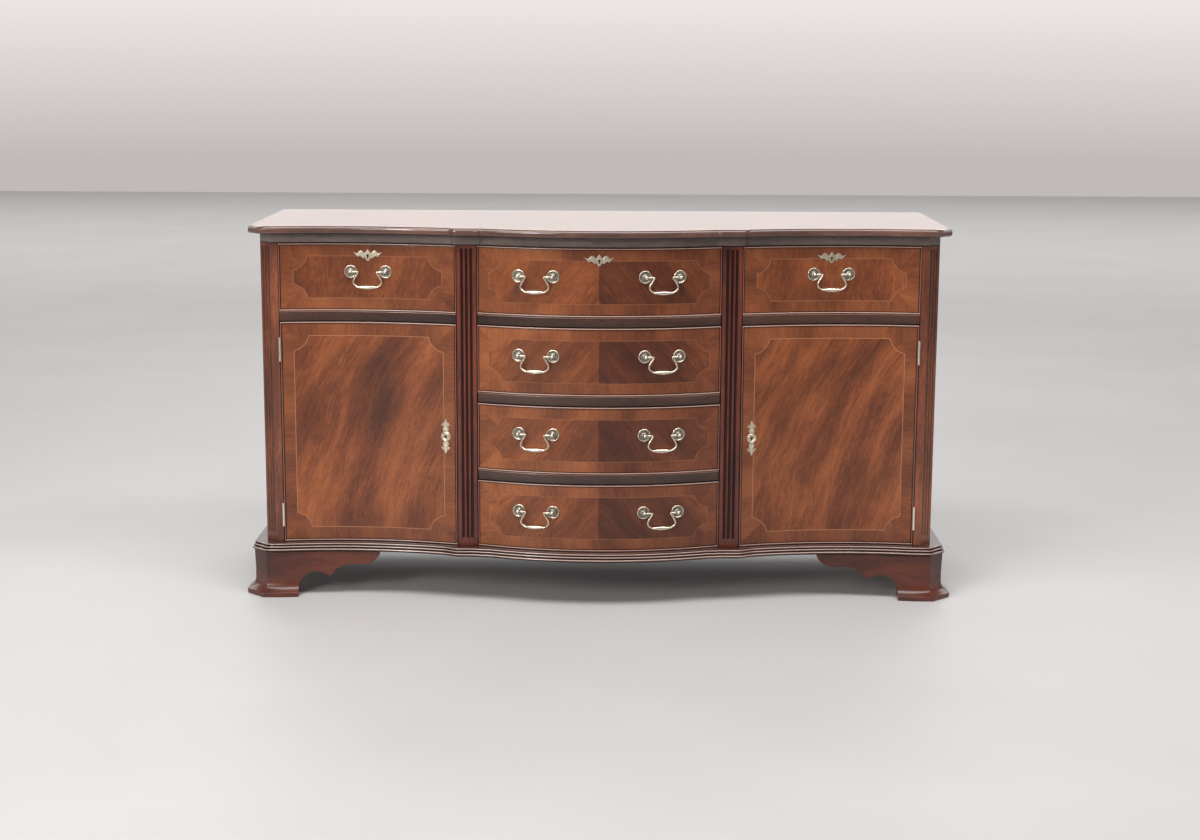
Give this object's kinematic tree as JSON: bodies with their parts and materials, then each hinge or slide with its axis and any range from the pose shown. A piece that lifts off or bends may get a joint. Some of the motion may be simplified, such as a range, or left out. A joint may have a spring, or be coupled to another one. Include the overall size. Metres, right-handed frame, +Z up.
{
  "type": "serpentine sideboard",
  "caption": "Mahogany serpentine-front sideboard with bowed centre drawers between two cupboards, fluted pilasters and ogee bracket feet.",
  "frame": {"origin": "on the floor, under the middle of the overall length and depth", "axes": "+X along the length to the right as seen from the front, +Y to the back, +Z up; the front faces -Y"},
  "size_m": [1.704, 0.612, 0.893],
  "materials": {
    "figured_mahogany": "flame-figured veneer under a satin polish",
    "polished_top": "figured veneer, high polish",
    "mahogany": "solid mahogany, satin polish",
    "dark_mahogany": "stained rails, satin polish",
    "drawer_lining": "plain wood, thin lacquer",
    "carcase_board": "plain wood, matt stain",
    "antique_brass": "cast brass with an aged silvery patina",
    "lock_steel": "plain steel"
  },
  "bodies": {
    "carcase": {"top_board": "polished_top", "sub_top": "dark_mahogany", "base_board": "mahogany", "side_panel_left": "mahogany", "partition_left": "carcase_board", "side_panel_right": "mahogany", "partition_right": "carcase_board", "back_panel": "carcase_board", "corner_post_left": "mahogany", "corner_post_right": "mahogany", "pilaster_left": "mahogany", "pilaster_right": "mahogany", "dust_board_centre_1": "dark_mahogany", "dust_board_centre_2": "dark_mahogany", "dust_board_centre_3": "dark_mahogany", "dust_board_left": "dark_mahogany", "shelf_left": "carcase_board", "dust_board_right": "dark_mahogany", "shelf_right": "carcase_board", "foot_front_left": "mahogany", "foot_back_left": "mahogany", "foot_front_right": "mahogany", "foot_back_right": "mahogany", "hinge_frame_leaf_left_lower": "antique_brass", "hinge_frame_leaf_left_upper": "antique_brass", "hinge_frame_leaf_right_lower": "antique_brass", "hinge_frame_leaf_right_upper": "antique_brass"},
    "drawer_left": {"drawer_front_left": "figured_mahogany", "drawer_box_left": "drawer_lining"},
    "bail_left": {"bail_left": "antique_brass"},
    "lock_bolt_drawer_left": {"lock_bolt_drawer_left": "lock_steel"},
    "drawer_right": {"drawer_front_right": "figured_mahogany", "drawer_box_right": "drawer_lining"},
    "bail_right": {"bail_right": "antique_brass"},
    "lock_bolt_drawer_right": {"lock_bolt_drawer_right": "lock_steel"},
    "drawer_centre_1": {"drawer_front_centre_1": "figured_mahogany", "drawer_box_centre_1": "drawer_lining"},
    "bail_centre_1_left": {"bail_centre_1_left": "antique_brass"},
    "bail_centre_1_right": {"bail_centre_1_right": "antique_brass"},
    "lock_bolt_drawer_centre_1": {"lock_bolt_drawer_centre_1": "lock_steel"},
    "drawer_centre_2": {"drawer_front_centre_2": "figured_mahogany", "drawer_box_centre_2": "drawer_lining"},
    "bail_centre_2_left": {"bail_centre_2_left": "antique_brass"},
    "bail_centre_2_right": {"bail_centre_2_right": "antique_brass"},
    "drawer_centre_3": {"drawer_front_centre_3": "figured_mahogany", "drawer_box_centre_3": "drawer_lining"},
    "bail_centre_3_left": {"bail_centre_3_left": "antique_brass"},
    "bail_centre_3_right": {"bail_centre_3_right": "antique_brass"},
    "drawer_centre_4": {"drawer_front_centre_4": "figured_mahogany", "drawer_box_centre_4": "drawer_lining"},
    "bail_centre_4_left": {"bail_centre_4_left": "antique_brass"},
    "bail_centre_4_right": {"bail_centre_4_right": "antique_brass"},
    "door_left": {"hinge_door_leaf_left_lower": "antique_brass", "hinge_door_leaf_left_upper": "antique_brass", "door_left": "figured_mahogany"},
    "lock_bolt_door_left": {"lock_bolt_door_left": "lock_steel"},
    "door_right": {"hinge_door_leaf_right_lower": "antique_brass", "hinge_door_leaf_right_upper": "antique_brass", "door_right": "figured_mahogany"},
    "lock_bolt_door_right": {"lock_bolt_door_right": "lock_steel"}
  },
  "joints": [
    {"name": "drawer_left_slide", "type": "slide", "parent": "carcase", "child": "drawer_left", "axis": [0, -1, 0], "range_m": [0, 0.34]},
    {"name": "bail_left_pivot", "type": "hinge", "parent": "drawer_left", "child": "bail_left", "pos_m": [-0.54905, -0.18742, 0.7831], "axis": [-0.9979, 0.064, 0], "range_deg": [0, 95]},
    {"name": "lock_bolt_drawer_left_throw", "type": "slide", "parent": "drawer_left", "child": "lock_bolt_drawer_left", "axis": [0, 0, 1], "range_m": [0, 0.006]},
    {"name": "drawer_right_slide", "type": "slide", "parent": "carcase", "child": "drawer_right", "axis": [0, -1, 0], "range_m": [0, 0.34]},
    {"name": "bail_right_pivot", "type": "hinge", "parent": "drawer_right", "child": "bail_right", "pos_m": [0.54905, -0.18742, 0.7831], "axis": [-0.9979, -0.064, 0], "range_deg": [0, 95]},
    {"name": "lock_bolt_drawer_right_throw", "type": "slide", "parent": "drawer_right", "child": "lock_bolt_drawer_right", "axis": [0, 0, 1], "range_m": [0, 0.006]},
    {"name": "drawer_centre_1_slide", "type": "slide", "parent": "carcase", "child": "drawer_centre_1", "axis": [0, -1, 0], "range_m": [0, 0.38]},
    {"name": "bail_centre_1_left_pivot", "type": "hinge", "parent": "drawer_centre_1", "child": "bail_centre_1_left", "pos_m": [-0.15055, -0.27099, 0.7831], "axis": [-0.979, 0.2039, 0], "range_deg": [0, 95]},
    {"name": "bail_centre_1_right_pivot", "type": "hinge", "parent": "drawer_centre_1", "child": "bail_centre_1_right", "pos_m": [0.15055, -0.27099, 0.7831], "axis": [-0.979, -0.2039, 0], "range_deg": [0, 95]},
    {"name": "lock_bolt_drawer_centre_1_throw", "type": "slide", "parent": "drawer_centre_1", "child": "lock_bolt_drawer_centre_1", "axis": [0, 0, 1], "range_m": [0, 0.006]},
    {"name": "drawer_centre_2_slide", "type": "slide", "parent": "carcase", "child": "drawer_centre_2", "axis": [0, -1, 0], "range_m": [0, 0.38]},
    {"name": "bail_centre_2_left_pivot", "type": "hinge", "parent": "drawer_centre_2", "child": "bail_centre_2_left", "pos_m": [-0.15055, -0.27099, 0.5963], "axis": [-0.979, 0.2039, 0], "range_deg": [0, 95]},
    {"name": "bail_centre_2_right_pivot", "type": "hinge", "parent": "drawer_centre_2", "child": "bail_centre_2_right", "pos_m": [0.15055, -0.27099, 0.5963], "axis": [-0.979, -0.2039, 0], "range_deg": [0, 95]},
    {"name": "drawer_centre_3_slide", "type": "slide", "parent": "carcase", "child": "drawer_centre_3", "axis": [0, -1, 0], "range_m": [0, 0.38]},
    {"name": "bail_centre_3_left_pivot", "type": "hinge", "parent": "drawer_centre_3", "child": "bail_centre_3_left", "pos_m": [-0.15055, -0.27099, 0.4095], "axis": [-0.979, 0.2039, 0], "range_deg": [0, 95]},
    {"name": "bail_centre_3_right_pivot", "type": "hinge", "parent": "drawer_centre_3", "child": "bail_centre_3_right", "pos_m": [0.15055, -0.27099, 0.4095], "axis": [-0.979, -0.2039, 0], "range_deg": [0, 95]},
    {"name": "drawer_centre_4_slide", "type": "slide", "parent": "carcase", "child": "drawer_centre_4", "axis": [0, -1, 0], "range_m": [0, 0.38]},
    {"name": "bail_centre_4_left_pivot", "type": "hinge", "parent": "drawer_centre_4", "child": "bail_centre_4_left", "pos_m": [-0.15055, -0.27099, 0.2227], "axis": [-0.979, 0.2039, 0], "range_deg": [0, 95]},
    {"name": "bail_centre_4_right_pivot", "type": "hinge", "parent": "drawer_centre_4", "child": "bail_centre_4_right", "pos_m": [0.15055, -0.27099, 0.2227], "axis": [-0.979, -0.2039, 0], "range_deg": [0, 95]},
    {"name": "door_left_hinge", "type": "hinge", "parent": "carcase", "child": "door_left", "pos_m": [-0.7595, -0.1896, 0.1296], "axis": [0, 0, -1], "range_deg": [0, 105]},
    {"name": "lock_bolt_door_left_throw", "type": "slide", "parent": "door_left", "child": "lock_bolt_door_left", "axis": [1, 0, 0], "range_m": [0, 0.006]},
    {"name": "door_right_hinge", "type": "hinge", "parent": "carcase", "child": "door_right", "pos_m": [0.7595, -0.1896, 0.1296], "axis": [0, 0, 1], "range_deg": [0, 105]},
    {"name": "lock_bolt_door_right_throw", "type": "slide", "parent": "door_right", "child": "lock_bolt_door_right", "axis": [-1, 0, 0], "range_m": [0, 0.006]}
  ]
}
